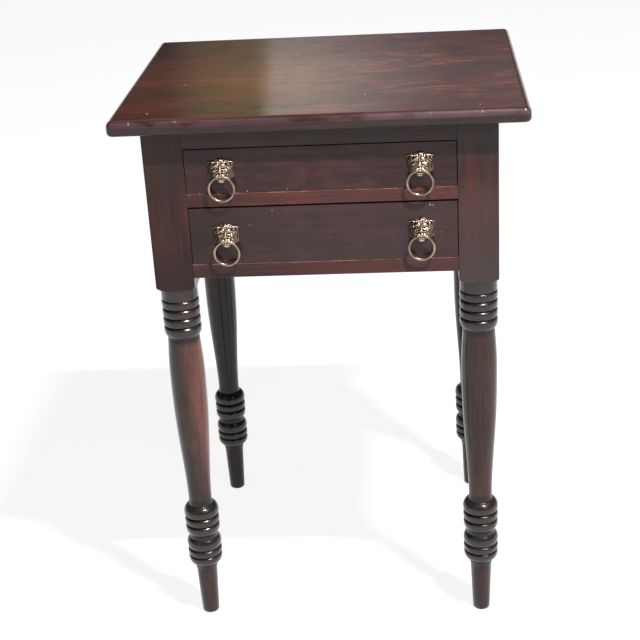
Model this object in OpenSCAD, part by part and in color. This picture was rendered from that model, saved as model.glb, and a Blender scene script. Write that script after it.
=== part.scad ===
// Work table with two drawers, turned legs and lion mask ring pulls
// Millimetres. X runs to the right, the front faces -Y, Z is up.
// The origin lies on the floor, under the middle of the table.

/* [Top] */
// Height of the table, floor to the upper face of the top
table_h = 730; // [660:5:800]
// Width of the top, left to right
top_w = 510; // [470:2:620]
// Depth of the top, front to back
top_d = 432; // [400:2:520]
// Thickness of the top
top_t = 19; // [16:0.5:25]
// Reach of the top past the posts at the left and right
side_overhang = 38; // [16:1:48]
// Reach of the top past the posts at the front and back
front_overhang = 19; // [16:1:30]
// Radius of the top's corners, seen from above
top_corner_r = 9; // [8.5:0.5:30]
// Radius of the rounded upper edge of the top
top_edge_r = 8; // [3:0.5:8]
// Radius of the rounded lower edge of the top
low_edge_r = 5; // [2:0.5:6]

/* [Case] */
// Width of each square leg post
post_size = 50; // [46:1:60]
// How far the square post reaches below the bottom rail
post_tail = 17; // [12:0.5:30]
// Height of the front rail under the top
top_rail_h = 23; // [20:0.5:28]
// Height of the upper drawer opening
upper_open_h = 58; // [54:0.5:60]
// Height of the rail between the drawers
middle_rail_h = 17; // [16:0.5:20]
// Height of the lower drawer opening
lower_open_h = 76; // [70:0.5:78]
// Height of the rail under the lower drawer
bottom_rail_h = 18.5; // [17:0.5:20]
// Depth of each front rail, front to back
rail_d = 50; // [44:1:60]
// Thickness of the side panels and the back panel
panel_t = 19; // [16:0.5:22]
// How far the panels lie inside the faces of the posts
panel_inset = 1.5; // [0:0.5:4]

/* [Turned legs] */
// Largest radius of the four upper beads
bead_r = 24.6; // [20:0.2:24.8]
// Height of each of the four upper beads
bead_pitch = 12.6; // [10:0.2:14]
// Radius of the round collar over the beads
collar_r = 24; // [20:0.2:24.6]
// Height of the collar
collar_h = 17; // [8:0.5:20]
// Radius of the neck under the upper beads
neck_r = 20.8; // [17:0.2:22]
// Largest radius of the shaft
swell_r = 23.3; // [19:0.1:24.5]
// Radius of the shaft at its thin lower end
ankle_r = 15.6; // [12:0.1:18]
// Height above the floor where the shaft meets the lower beads
ankle_z = 178; // [170:1:200]
// Largest radius of the lower beads
ring_bead_r = 23.6; // [20:0.1:25]
// Radius of the waist between the two groups of lower beads
waist_r = 20.6; // [18:0.1:21.5]
// Radius of the foot just under the beads
foot_top_r = 14; // [12:0.1:16]
// Radius of the foot at the floor
foot_r = 11.6; // [9:0.1:14]

/* [Drawers] */
// Room behind the drawers, which the stops fill
back_room = 17; // [8:0.5:50]
// Thickness of the drawer fronts
front_t = 19; // [17:0.5:24]
// Thickness of the drawer sides
drawer_side_t = 10; // [8:0.5:12]
// Thickness of the drawer backs
drawer_back_t = 10; // [8:0.5:14]
// Thickness of the drawer bottoms
drawer_bottom_t = 6; // [4:0.5:7]
// How far the drawer fronts lie behind the faces of the rails
front_recess = 0.5; // [0:0.1:3]
// Gap at each side of a drawer
side_gap = 0.8; // [0.4:0.1:1.5]
// Gap over the upper drawer front
upper_gap = 1.2; // [0.5:0.1:3]
// Gap over the lower drawer front
lower_gap = 2.2; // [0.5:0.1:4]
// Running gap under the drawers
run_gap = 0.3; // [0.2:0.1:1]

/* [Pulls] */
// Distance of each pull from the post beside it
pull_inset = 45.5; // [26:0.5:80]
// Height of the ring pivot below the middle of the drawer front
pivot_drop = 5; // [2:0.5:6]
// Distance of the ring pivot in front of the drawer front
pivot_out = 7.5; // [7:0.1:9]
// Outer diameter of the ring
ring_od = 34.4; // [32:0.2:40]
// Thickness of the ring's wire
wire_d = 3.2; // [2.4:0.1:3.6]
// Diameter of the threaded stud behind each mask
stud_d = 5; // [4:0.5:6]

/* [Fits] */
// Clearance round each tenon, tail and tongue
joint_gap = 0.15; // [0.1:0.05:0.3]
// Clearance round each screw, nail and stud
pin_gap = 0.1; // [0.05:0.05:0.3]
// Play of the ring's wire in the lion's mouth
ring_play = 0.35; // [0.3:0.05:0.6]

/* [Hidden] */
$fn = 64;
over = 1;
case_w = top_w - 2 * side_overhang;
case_d = top_d - 2 * front_overhang;
post_x = (case_w - post_size) / 2;
post_y = (case_d - post_size) / 2;
inner_x = case_w / 2 - post_size;
inner_y = case_d / 2 - post_size;
under_top = table_h - top_t;
front_y = -case_d / 2;

// Heights of the front, from the top down
top_rail_z = under_top - top_rail_h;
upper_z = top_rail_z - upper_open_h;
middle_rail_z = upper_z - middle_rail_h;
lower_z = middle_rail_z - lower_open_h;
bottom_rail_z = lower_z - bottom_rail_h;
post_z = bottom_rail_z - post_tail;

// Panels
panel_x = case_w / 2 - panel_inset - panel_t;
panel_y = case_d / 2 - panel_inset - panel_t;
panel_tenon_t = 8;
panel_tenon_l = 20;
panel_tenon_shoulder = 12;

// Rails
rail_tenon_t = 9;
rail_tenon_l = 18;
rail_tenon_shoulder = 2;
rail_tenon_y = [rail_d * 0.26, rail_d * 0.74];
lap_h = 12;
lap_root = 20;
lap_end = 27;
tongue_t = 6;
tongue_l = 8;

// Runners, guides and kickers at the sides of the drawers
runner_reach = 20;
runner_x = inner_x - runner_reach;
guide_h = 13;

// Screws, blocks and stops
screw_d = 4;
screw_head_d = 8;
screw_head_h = 2.6;
screw_bite = 12;
counterbore = 10;
screw_y = inner_y * 0.6;
screw_x = inner_x * 0.55;
kicker_screw_x = (inner_x + panel_x) / 2;
block_s = 14;
block_l = 55;
block_x = inner_x * 0.7;
stop_w = 30;
stop_h = 24;
stop_x = inner_x * 0.7;

// Drawers, upper first
open_z = [upper_z, lower_z];
open_h = [upper_open_h, lower_open_h];
top_gap = [upper_gap, lower_gap];
tails = [2, 3];
drawer_w = 2 * (inner_x - side_gap);
drawer_front_y = front_y + front_recess;
shoulder_y = drawer_front_y + front_t;
drawer_end_y = panel_y - back_room;
back_face_y = drawer_end_y - drawer_back_t;
side_x = drawer_w / 2 - drawer_side_t;
side_drop = 2;
lap_cover = 6;
tail_l = front_t - lap_cover;
tail_root = 0.5;
tail_end = 0.74;
groove_up = 7.5;
side_groove = 4;
front_groove = 6;
groove_play = 0.2;
nail_d = 1.6;
nail_head_d = 4;
nail_head_h = 0.8;
nail_l = 20;
nail_spots = [-0.75, -0.25, 0.25, 0.75];

// Turned legs: each bead has its drop below the ankle, the step of its radius,
// the reach of its band up and down, and the radius of its arc
foot_beads = [[13, 0.2, 9.5, 6.8, 11.5], [26.3, 0, 6.5, 6.2, 13], [38.5, -0.2, 6, 12, 11],
    [63, 0.1, 11, 7.5, 11], [76, 0, 5.5, 5.5, 12], [86.5, -0.4, 5, 12, 10.5]];
upper_beads = 4;
bead_arc = 12;
waist_drop = 58;
waist_h = 14;
foot_drop = 114;
foot_bevel = 1.2;
cove_w = 3;
cove_h = 16;
bead_bury = 8;
ankle_cove = 3.4;
neck_run = 8;
neck_drop = 7;
swell_drop = 52;
swell_bias = 1.25;
shaft_steps = 14;
neck_steps = 7;
cove_steps = 4;
beads_top = post_z - collar_h;
neck_z = beads_top - upper_beads * bead_pitch - neck_drop;
swell_z = neck_z - swell_drop;
post_curve = 9;
post_curve_x = post_size * 0.54;

// Pulls
wire_r = wire_d / 2;
ring_r = (ring_od - wire_d) / 2;
pull_x = inner_x - pull_inset;
pivot_y = drawer_front_y - pivot_out;
muzzle_w = 12;
mouth_sag = ring_r - sqrt(ring_r * ring_r - muzzle_w * muzzle_w / 4);
mouth_r = wire_r + mouth_sag + ring_play;
lip_t = 1.7;
plate_t = 2.4;
skull_y = 10;
stud_up = 11;
stud_bite = 3;
washer_d = 12;
washer_t = 1;
nut_s = 9;
nut_t = 4;
stud_tail = 1.5;

// Face of the lion mask: centres and radii of its round forms
skull_r = 13.2;
skull_sink = 6.6;
skull_edge = 10.4;
skull_h = 8;
cheek = [5.6, 5.6, 3.4];
cheek_r = 3.1;
lip = [muzzle_w * 0.18, 1.4, pivot_out + 1.1];
lip_r = 3.9;
eye = [5.1, 9.9, 7.4];
eye_r = 2.3;
nose_root = [0, 14, 6];
nose_slope = 72;
nose_l = 9.2;
nose_r = [1.8, 2.3];
nose_tip = [0, 4.9, 9.3];
nose_tip_r = 2.7;
jaw = [[-muzzle_w * 0.45, -3.4, 0], [muzzle_w * 0.45, 4.6, pivot_out]];
chin_y = -4.4;
chin_r = 4.8;
chin_tip_r = 4.9;
chin_sink = 0.4;
mouth_line_y = -2.9;
mouth_line_h = 0.9;

// Locks of hair and brows at the right: thick end, turn, length, thick and thin radius
locks = [[[1.6, 16, 4.6], 75, 4.6, 2, 1.2], [[2.2, 13.4, 6], 18, 5.6, 2, 1.3],
    [[14.2, 18, 1.3], 205, 5.4, 2.2, 1.3], [[13.6, 13.9, 1.5], 215, 5.5, 1.9, 1.1],
    [[13.38, 9.8, 1.5], 223, 5.5, 1.9, 1.1], [[12.72, 5.7, 1.5], 231, 5.5, 1.9, 1.1],
    [[11.62, 1.6, 1.5], 239, 5.5, 1.9, 1.1]];
lock_swell = 1.05;
mask_reach = [20, 30, 20];

mahogany = [0.36, 0.20, 0.16];
dark_mahogany = [0.27, 0.16, 0.13];
red_mahogany = [0.42, 0.21, 0.17];
pine = [0.72, 0.57, 0.38];
brass = [0.72, 0.58, 0.36];
iron = [0.33, 0.31, 0.30];

UPPER = 0;
LOWER = 1;
LEFT = -1;
RIGHT = 1;

function drawer_z(d) = open_z[d] + run_gap;
function drawer_h(d) = open_h[d] - run_gap - top_gap[d];
function side_h(d) = drawer_h(d) - side_drop;
function groove_z(d) = drawer_z(d) + groove_up;
function back_z(d) = groove_z(d) + drawer_bottom_t + groove_play;
function back_h(d) = drawer_z(d) + side_h(d) - back_z(d);
function pivot_z(d) = drawer_z(d) + drawer_h(d) / 2 - pivot_drop;

// Children are drawn for the right side and mirrored for the left
module on_side(side) {
    mirror([side == LEFT ? 1 : 0, 0, 0]) children();
}

// A box from its lowest corner to its highest
module span(from, to) {
    translate(from) cube(to - from);
}

// An outline in Y and Z, drawn out along X
module along_x(from, to) {
    translate([from, 0, 0]) rotate([90, 0, 90]) linear_extrude(to - from) children();
}

// Section of the top's edge: rounded above and below, flat against the inside
module edge_section(reach) {
    difference() {
        square([reach, top_t]);
        difference() {
            translate([reach - top_edge_r, top_t - top_edge_r]) square(top_edge_r + over);
            translate([reach - top_edge_r, top_t - top_edge_r]) circle(top_edge_r);
        }
        difference() {
            translate([reach - low_edge_r, -over]) square([low_edge_r + over, low_edge_r + over]);
            translate([reach - low_edge_r, low_edge_r]) circle(low_edge_r);
        }
    }
}

// The board of the top, from rounded corners, edges and a flat middle
module top_board() {
    flat_w = top_w - 2 * top_corner_r;
    flat_d = top_d - 2 * top_corner_r;
    translate([-flat_w / 2, -flat_d / 2, 0]) cube([flat_w, flat_d, top_t]);
    for (k = [0 : 3]) {
        run = k % 2 == 0 ? flat_d : flat_w;
        out = k % 2 == 0 ? flat_w / 2 : flat_d / 2;
        rotate([0, 0, 90 * k]) {
            translate([out, run / 2, 0]) rotate_extrude(angle = 90) edge_section(top_corner_r);
            translate([out, run / 2, 0]) rotate([90, 0, 0])
                linear_extrude(run) edge_section(top_corner_r);
        }
    }
}

// Places of the six screws that hold the top
module at_screws() {
    for (sx = [LEFT, RIGHT]) {
        translate([sx * screw_x, front_y + rail_d / 2, 0]) children();
        for (sy = [-1, 1]) translate([sx * kicker_screw_x, sy * screw_y, 0]) children();
    }
}

module table_top() {
    color(mahogany) difference() {
        translate([0, 0, under_top]) top_board();
        at_screws() translate([0, 0, under_top - over])
            cylinder(d = screw_d + 2 * pin_gap, h = screw_bite + over + pin_gap);
    }
}

module top_screws() {
    color(iron) at_screws() {
        translate([0, 0, top_rail_z + counterbore])
            cylinder(d = screw_d, h = under_top - top_rail_z - counterbore + screw_bite);
        translate([0, 0, top_rail_z + counterbore - screw_head_h])
            cylinder(d = screw_head_d, h = screw_head_h);
    }
}

module screw_holes() {
    at_screws() {
        translate([0, 0, top_rail_z - over])
            cylinder(d = screw_d + 2 * pin_gap, h = top_rail_h + 2 * over);
        translate([0, 0, top_rail_z - over])
            cylinder(d = screw_head_d + 4 * pin_gap, h = counterbore + over);
    }
}

// Half section of one turned bead: an arc that stands out to r, inside its own band
module bead(r, z, up, down, arc) {
    intersection() {
        union() {
            translate([r - arc, z]) circle(arc, $fn = 96);
            translate([0, z - arc]) square([r - arc, 2 * arc]);
        }
        translate([0, z - down]) square([r + over, up + down]);
    }
}

// Half section of the foot: a bevel at the floor, a slow taper, a cove under the beads
module foot_section() {
    cove_z = ankle_z - foot_drop;
    polygon([[0, 0], [foot_r - foot_bevel, 0], [foot_r, foot_bevel], [foot_top_r, cove_z],
        for (k = [1 : cove_steps]) let (a = 90 * k / cove_steps)
            [foot_top_r + cove_w * (1 - cos(a)), cove_z + cove_h * sin(a)],
        [foot_top_r + cove_w, cove_z + cove_h + bead_bury], [0, cove_z + cove_h + bead_bury]]);
}

// Half section of the shaft: a cosine fall from the swelling to the ankle,
// a sine rise to the neck, and a small cove where it meets the beads
module shaft_section() {
    polygon([[0, ankle_z - bead_bury], [ankle_r, ankle_z - bead_bury],
        for (k = [0 : cove_steps]) let (a = 90 * k / cove_steps)
            [ankle_r + ankle_cove * (1 - sin(a)), ankle_z - ankle_cove * cos(a)],
        for (k = [1 : shaft_steps]) let (t = 1 - k / shaft_steps)
            [ankle_r + (swell_r - ankle_r) * (1 + cos(180 * pow(t, swell_bias))) / 2,
                swell_z - (swell_z - ankle_z) * t],
        for (k = [1 : neck_steps]) let (t = k / neck_steps)
            [swell_r - (swell_r - neck_r) * (1 - cos(90 * t)),
                swell_z + (neck_z - swell_z) * t],
        [neck_r, neck_z + neck_run], [0, neck_z + neck_run]]);
}

// Half section of the turned part of a leg, from the floor to the post
module leg_section() {
    foot_section();
    for (b = foot_beads) bead(ring_bead_r + b[1], ankle_z - b[0], b[2], b[3], b[4]);
    translate([0, ankle_z - waist_drop]) square([waist_r, waist_h]);
    shaft_section();
    for (k = [1 : upper_beads])
        bead(bead_r, beads_top - (k - 0.5) * bead_pitch, bead_pitch / 2,
            k == upper_beads ? bead_pitch : bead_pitch / 2, bead_arc);
    translate([0, beads_top - over]) square([collar_r, post_z - beads_top + 2 * over]);
}

// Half section that trims the post's lower end, so that its corners curve up
module post_trim() {
    translate([0, post_z]) square([post_curve_x, post_curve]);
    translate([post_curve_x, post_z + post_curve]) circle(post_curve);
    translate([0, post_z + post_curve]) square([post_size, under_top - post_z]);
}

// One leg on its own axis, before its joints are cut
module plain_leg() {
    rotate_extrude($fn = 96) leg_section();
    intersection() {
        translate([-post_size / 2, -post_size / 2, post_z])
            cube([post_size, post_size, under_top - post_z]);
        rotate_extrude($fn = 96) post_trim();
    }
}

// A tail, root at the origin, pointing along +X, with clearance gap
module tail(length, root, end, gap) {
    polygon([[-over, -root / 2 - gap], [0, -root / 2 - gap], [length + gap, -end / 2 - gap],
        [length + gap, end / 2 + gap], [0, root / 2 + gap], [-over, root / 2 + gap]]);
}

// The lap that joins the top rail to a post, seen from above, at the right
module rail_lap(gap) {
    translate([inner_x, front_y + rail_d / 2]) tail(rail_tenon_l, lap_root, lap_end, gap);
}

// Twin tenons of a front rail at the right, for a rail from z up to z + h
module rail_tenons(z, h, gap) {
    for (y = rail_tenon_y)
        span([inner_x - over, front_y + y - rail_tenon_t / 2 - gap, z + rail_tenon_shoulder - gap],
            [inner_x + rail_tenon_l + gap, front_y + y + rail_tenon_t / 2 + gap,
                z + h - rail_tenon_shoulder + gap]);
}

// Tenon of a right side panel into the back post; mirrored for the front post
module side_tenon(gap) {
    x = panel_x + (panel_t - panel_tenon_t) / 2;
    span([x - gap, inner_y - over, bottom_rail_z + panel_tenon_shoulder - gap],
        [x + panel_tenon_t + gap, inner_y + panel_tenon_l + gap,
            under_top - panel_tenon_shoulder + gap]);
}

// Tenon of the back panel into the right post
module back_tenon(gap) {
    y = panel_y + (panel_t - panel_tenon_t) / 2;
    span([inner_x - over, y - gap, bottom_rail_z + panel_tenon_shoulder - gap],
        [inner_x + panel_tenon_l + gap, y + panel_tenon_t + gap,
            under_top - panel_tenon_shoulder + gap]);
}

module front_leg(side) {
    color(mahogany) on_side(side) difference() {
        translate([post_x, -post_y, 0]) plain_leg();
        mirror([0, 1, 0]) side_tenon(joint_gap);
        rail_tenons(middle_rail_z, middle_rail_h, joint_gap);
        rail_tenons(bottom_rail_z, bottom_rail_h, joint_gap);
        translate([0, 0, under_top - lap_h]) linear_extrude(lap_h + over) rail_lap(joint_gap);
    }
}

module back_leg(side) {
    color(mahogany) on_side(side) difference() {
        translate([post_x, post_y, 0]) plain_leg();
        side_tenon(joint_gap);
        back_tenon(joint_gap);
    }
}

module leg_front_left() { front_leg(LEFT); }
module leg_front_right() { front_leg(RIGHT); }
module leg_back_left() { back_leg(LEFT); }
module leg_back_right() { back_leg(RIGHT); }

module side_panel(side) {
    color(dark_mahogany) on_side(side) {
        span([panel_x, -inner_y, bottom_rail_z], [panel_x + panel_t, inner_y, under_top]);
        side_tenon(0);
        mirror([0, 1, 0]) side_tenon(0);
    }
}

module side_panel_left() { side_panel(LEFT); }
module side_panel_right() { side_panel(RIGHT); }

module back_panel() {
    color(dark_mahogany) {
        span([-inner_x, panel_y, bottom_rail_z], [inner_x, panel_y + panel_t, under_top]);
        for (side = [LEFT, RIGHT]) on_side(side) back_tenon(0);
    }
}

module top_rail() {
    color(red_mahogany) difference() {
        union() {
            span([-inner_x, front_y, top_rail_z], [inner_x, front_y + rail_d, under_top]);
            for (side = [LEFT, RIGHT]) on_side(side)
                translate([0, 0, under_top - lap_h]) linear_extrude(lap_h) rail_lap(0);
        }
        screw_holes();
    }
}

// A rail under a drawer, with sockets at the back for the runners' tongues
module drawer_rail(z, h) {
    color(red_mahogany) difference() {
        union() {
            span([-inner_x, front_y, z], [inner_x, front_y + rail_d, z + h]);
            for (side = [LEFT, RIGHT]) on_side(side) rail_tenons(z, h, 0);
        }
        for (side = [LEFT, RIGHT]) on_side(side)
            span([runner_x - joint_gap, front_y + rail_d - tongue_l - joint_gap,
                z + (h - tongue_t) / 2 - joint_gap],
                [inner_x, front_y + rail_d + over, z + (h + tongue_t) / 2 + joint_gap]);
    }
}

module middle_rail() { drawer_rail(middle_rail_z, middle_rail_h); }
module bottom_rail() { drawer_rail(bottom_rail_z, bottom_rail_h); }

// A strip at the side of the drawers, from the rail to y_end, and out to the panel
module side_strip(z, h, y_end) {
    span([runner_x, front_y + rail_d, z], [inner_x, y_end, z + h]);
    span([inner_x, -inner_y, z], [panel_x, inner_y, z + h]);
}

module runner(side, z, h) {
    color(pine) on_side(side) {
        side_strip(z, h, panel_y);
        span([runner_x, front_y + rail_d - tongue_l, z + (h - tongue_t) / 2],
            [inner_x - joint_gap, front_y + rail_d, z + (h + tongue_t) / 2]);
    }
}

module upper_runner_left() { runner(LEFT, middle_rail_z, middle_rail_h); }
module upper_runner_right() { runner(RIGHT, middle_rail_z, middle_rail_h); }
module lower_runner_left() { runner(LEFT, bottom_rail_z, bottom_rail_h); }
module lower_runner_right() { runner(RIGHT, bottom_rail_z, bottom_rail_h); }

// A guide on a runner keeps the drawer in line with the posts
module guide(side, z) {
    color(pine) on_side(side) span([inner_x, -inner_y, z], [panel_x, inner_y, z + guide_h]);
}

module upper_guide_left() { guide(LEFT, upper_z); }
module upper_guide_right() { guide(RIGHT, upper_z); }
module lower_guide_left() { guide(LEFT, lower_z); }
module lower_guide_right() { guide(RIGHT, lower_z); }

// A kicker over the upper drawer keeps it from tipping, and holds the top's screws
module kicker(side) {
    color(pine) difference() {
        on_side(side) side_strip(top_rail_z, top_rail_h, inner_y);
        screw_holes();
    }
}

module kicker_left() { kicker(LEFT); }
module kicker_right() { kicker(RIGHT); }

// Two stops on the back panel, behind drawer d
module stops(d) {
    color(pine) for (side = [LEFT, RIGHT]) on_side(side)
        translate([stop_x - stop_w / 2, drawer_end_y + run_gap,
            drawer_z(d) + (drawer_h(d) - stop_h) / 2])
            cube([stop_w, back_room - run_gap, stop_h]);
}

module upper_stops() { stops(UPPER); }
module lower_stops() { stops(LOWER); }

module glue_blocks() {
    color(pine) for (x = [-block_x, 0, block_x])
        along_x(x - block_l / 2, x + block_l / 2)
            polygon([[panel_y, under_top], [panel_y - block_s, under_top],
                [panel_y, under_top - block_s]]);
}

// Outline in Y and Z of the tails at the front end of a side of drawer d
module front_tails(d, gap) {
    pitch = side_h(d) / tails[d];
    for (k = [0 : tails[d] - 1])
        translate([shoulder_y, drawer_z(d) + (k + 0.5) * pitch]) rotate(180)
            tail(tail_l, pitch * tail_root, pitch * tail_end, gap);
}

// Outline in Y and Z of the tails at the back end
module back_tails(d, gap) {
    pitch = back_h(d) / tails[d];
    for (k = [0 : tails[d] - 1])
        translate([back_face_y, back_z(d) + (k + 0.5) * pitch])
            tail(drawer_back_t, pitch * tail_root, pitch * tail_end, gap);
}

// Places of the two pulls on drawer d, at the face of the drawer front
module at_pulls(d) {
    for (side = [LEFT, RIGHT])
        translate([side * pull_x, drawer_front_y, pivot_z(d)]) rotate([90, 0, 0]) children();
}

module drawer_front(d) {
    color(dark_mahogany) difference() {
        span([-drawer_w / 2, drawer_front_y, drawer_z(d)],
            [drawer_w / 2, shoulder_y, drawer_z(d) + drawer_h(d)]);
        for (side = [LEFT, RIGHT]) on_side(side)
            along_x(side_x - joint_gap, drawer_w / 2 + over) front_tails(d, joint_gap);
        span([-side_x - side_groove, shoulder_y - front_groove, groove_z(d)],
            [side_x + side_groove, shoulder_y + over, back_z(d)]);
        at_pulls(d) translate([0, stud_up, -front_t - over])
            cylinder(d = stud_d + 2 * pin_gap, h = front_t + 2 * over);
    }
}

module drawer_side(d, side) {
    color(pine) on_side(side) difference() {
        along_x(side_x, drawer_w / 2) {
            translate([shoulder_y, drawer_z(d)]) square([back_face_y - shoulder_y, side_h(d)]);
            translate([back_face_y - over, drawer_z(d)])
                square([drawer_back_t + over, back_z(d) - drawer_z(d)]);
            front_tails(d, 0);
            intersection() {
                back_tails(d, 0);
                translate([back_face_y - over, drawer_z(d)])
                    square([drawer_back_t + over, side_h(d)]);
            }
        }
        span([side_x - over, shoulder_y - front_groove, groove_z(d)],
            [side_x + side_groove, drawer_end_y + over, back_z(d)]);
    }
}

module drawer_back(d) {
    color(pine) difference() {
        span([-drawer_w / 2, back_face_y, back_z(d)],
            [drawer_w / 2, drawer_end_y, back_z(d) + back_h(d)]);
        for (side = [LEFT, RIGHT]) on_side(side)
            along_x(side_x - joint_gap, drawer_w / 2 + over) back_tails(d, joint_gap);
        at_nails(d) cylinder(d = nail_d + 2 * pin_gap, h = nail_l + pin_gap);
    }
}

// Places of the nails that hold the bottom to the back of drawer d
module at_nails(d) {
    for (k = nail_spots)
        translate([k * side_x, drawer_end_y - drawer_back_t / 2, groove_z(d)]) children();
}

module drawer_bottom(d) {
    color(pine) difference() {
        span([-side_x - side_groove + joint_gap, shoulder_y - front_groove + joint_gap, groove_z(d)],
            [side_x + side_groove - joint_gap, drawer_end_y, groove_z(d) + drawer_bottom_t]);
        at_nails(d) translate([0, 0, -over]) {
            cylinder(d = nail_d + 2 * pin_gap, h = drawer_bottom_t + 2 * over);
            cylinder(d = nail_head_d + 2 * pin_gap, h = nail_head_h + over);
        }
    }
}

module bottom_nails(d) {
    color(iron) at_nails(d) {
        cylinder(d = nail_d, h = nail_l);
        cylinder(d = nail_head_d, h = nail_head_h);
    }
}

// Threaded studs from the masks through the drawer front
module pull_studs(d) {
    color(brass) at_pulls(d) translate([0, stud_up, -front_t - washer_t - nut_t - stud_tail])
        cylinder(d = stud_d, h = front_t + washer_t + nut_t + stud_tail + stud_bite);
}

module pull_washers(d) {
    color(brass) at_pulls(d) translate([0, stud_up, -front_t - washer_t]) difference() {
        cylinder(d = washer_d, h = washer_t);
        translate([0, 0, -over]) cylinder(d = stud_d + 2 * pin_gap, h = washer_t + 2 * over);
    }
}

module pull_nuts(d) {
    color(brass) at_pulls(d) translate([0, stud_up, -front_t - washer_t - nut_t]) difference() {
        translate([-nut_s / 2, -nut_s / 2, 0]) cube([nut_s, nut_s, nut_t]);
        translate([0, 0, -over]) cylinder(d = stud_d + 2 * pin_gap, h = nut_t + 2 * over);
    }
}

// Outline of the mask: hair tuft, ears, mane and chin, around the ring pivot
module mask_outline() {
    half = [[0, 22], [3.6, 21.7], [6.2, 19.8], [9.5, 20], [13, 20.6], [16.2, 19.6], [16.8, 17.4],
        [15.3, 15], [15.7, 9], [15.2, 4], [13.4, 0], [10.2, -2.4], [7, -3.2], [5.4, -6.4],
        [3.2, -8.8], [0, -9.6]];
    polygon(concat(half, [for (k = [len(half) - 2 : -1 : 1]) [-half[k][0], half[k][1]]]));
}

// A lock of hair or a ridge: a cone that lies along the plate, with a round thick end
module lock(from, angle, length, r_thick, r_thin) {
    translate(from) {
        sphere(r_thick * lock_swell);
        rotate([0, 90, angle]) cylinder(r1 = r_thick, r2 = r_thin, h = length);
    }
}

// The raised parts of the face, which stand on the plate
module mask_relief() {
    intersection() {
        translate([0, skull_y, -skull_sink]) sphere(skull_r);
        translate([0, skull_y, 0]) cylinder(r = skull_edge, h = skull_h);
    }
    for (side = [LEFT, RIGHT]) on_side(side) {
        for (k = locks) lock(k[0], k[1], k[2], k[3], k[4]);
        translate(cheek) sphere(cheek_r);
        translate(lip) sphere(lip_r);
    }
    translate(nose_root) rotate([nose_slope, 0, 0])
        cylinder(r1 = nose_r[0], r2 = nose_r[1], h = nose_l);
    translate(nose_tip) sphere(nose_tip_r);
    // muzzle round the ring, and what carries it
    translate([-muzzle_w / 2, 0, pivot_out]) rotate([0, 90, 0])
        cylinder(r = mouth_r + lip_t, h = muzzle_w);
    span(jaw[0], jaw[1]);
    translate([0, chin_y, 0]) {
        cylinder(r = chin_r, h = pivot_out);
        translate([0, 0, pivot_out - chin_sink]) sphere(chin_tip_r);
    }
}

// One lion mask: X right, Y up, Z out, with the ring pivot over the origin
module lion_mask() {
    difference() {
        union() {
            linear_extrude(plate_t) mask_outline();
            intersection() {
                mask_relief();
                span([-mask_reach[0], -mask_reach[1], 0], mask_reach);
            }
        }
        for (side = [LEFT, RIGHT]) on_side(side) translate(eye) sphere(eye_r);
        // the mouth: a bore for the ring, and the line between lip and chin
        translate([-muzzle_w / 2 - over, 0, pivot_out]) rotate([0, 90, 0])
            cylinder(r = mouth_r, h = muzzle_w + 2 * over);
        span([-muzzle_w / 2 - over, mouth_line_y, pivot_out],
            [muzzle_w / 2 + over, mouth_line_y + mouth_line_h, mask_reach[2]]);
        // socket for the stud
        translate([0, stud_up, -over]) cylinder(d = stud_d + 2 * pin_gap, h = stud_bite + over);
    }
}

module mask(d, side) {
    color(brass) translate([side * pull_x, drawer_front_y, pivot_z(d)]) rotate([90, 0, 0])
        lion_mask();
}

// A ring hangs from the mouth and swings out about the line through it
module ring(d, side) {
    color(brass) translate([side * pull_x, pivot_y, pivot_z(d) - ring_r]) rotate([90, 0, 0])
        rotate_extrude($fn = 96) translate([ring_r, 0]) circle(wire_r);
}

module upper_drawer_front() { drawer_front(UPPER); }
module upper_drawer_side_left() { drawer_side(UPPER, LEFT); }
module upper_drawer_side_right() { drawer_side(UPPER, RIGHT); }
module upper_drawer_back() { drawer_back(UPPER); }
module upper_drawer_bottom() { drawer_bottom(UPPER); }
module upper_bottom_nails() { bottom_nails(UPPER); }
module upper_mask_left() { mask(UPPER, LEFT); }
module upper_mask_right() { mask(UPPER, RIGHT); }
module upper_pull_studs() { pull_studs(UPPER); }
module upper_pull_washers() { pull_washers(UPPER); }
module upper_pull_nuts() { pull_nuts(UPPER); }
module upper_ring_left() { ring(UPPER, LEFT); }
module upper_ring_right() { ring(UPPER, RIGHT); }
module lower_drawer_front() { drawer_front(LOWER); }
module lower_drawer_side_left() { drawer_side(LOWER, LEFT); }
module lower_drawer_side_right() { drawer_side(LOWER, RIGHT); }
module lower_drawer_back() { drawer_back(LOWER); }
module lower_drawer_bottom() { drawer_bottom(LOWER); }
module lower_bottom_nails() { bottom_nails(LOWER); }
module lower_mask_left() { mask(LOWER, LEFT); }
module lower_mask_right() { mask(LOWER, RIGHT); }
module lower_pull_studs() { pull_studs(LOWER); }
module lower_pull_washers() { pull_washers(LOWER); }
module lower_pull_nuts() { pull_nuts(LOWER); }
module lower_ring_left() { ring(LOWER, LEFT); }
module lower_ring_right() { ring(LOWER, RIGHT); }

table_top();
leg_front_left();
leg_front_right();
leg_back_left();
leg_back_right();
side_panel_left();
side_panel_right();
back_panel();
top_rail();
middle_rail();
bottom_rail();
upper_runner_left();
upper_runner_right();
lower_runner_left();
lower_runner_right();
upper_guide_left();
upper_guide_right();
lower_guide_left();
lower_guide_right();
kicker_left();
kicker_right();
upper_stops();
lower_stops();
top_screws();
glue_blocks();
upper_drawer_front();
upper_drawer_side_left();
upper_drawer_side_right();
upper_drawer_back();
upper_drawer_bottom();
upper_bottom_nails();
upper_mask_left();
upper_mask_right();
upper_pull_studs();
upper_pull_washers();
upper_pull_nuts();
upper_ring_left();
upper_ring_right();
lower_drawer_front();
lower_drawer_side_left();
lower_drawer_side_right();
lower_drawer_back();
lower_drawer_bottom();
lower_bottom_nails();
lower_mask_left();
lower_mask_right();
lower_pull_studs();
lower_pull_washers();
lower_pull_nuts();
lower_ring_left();
lower_ring_right();
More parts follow.
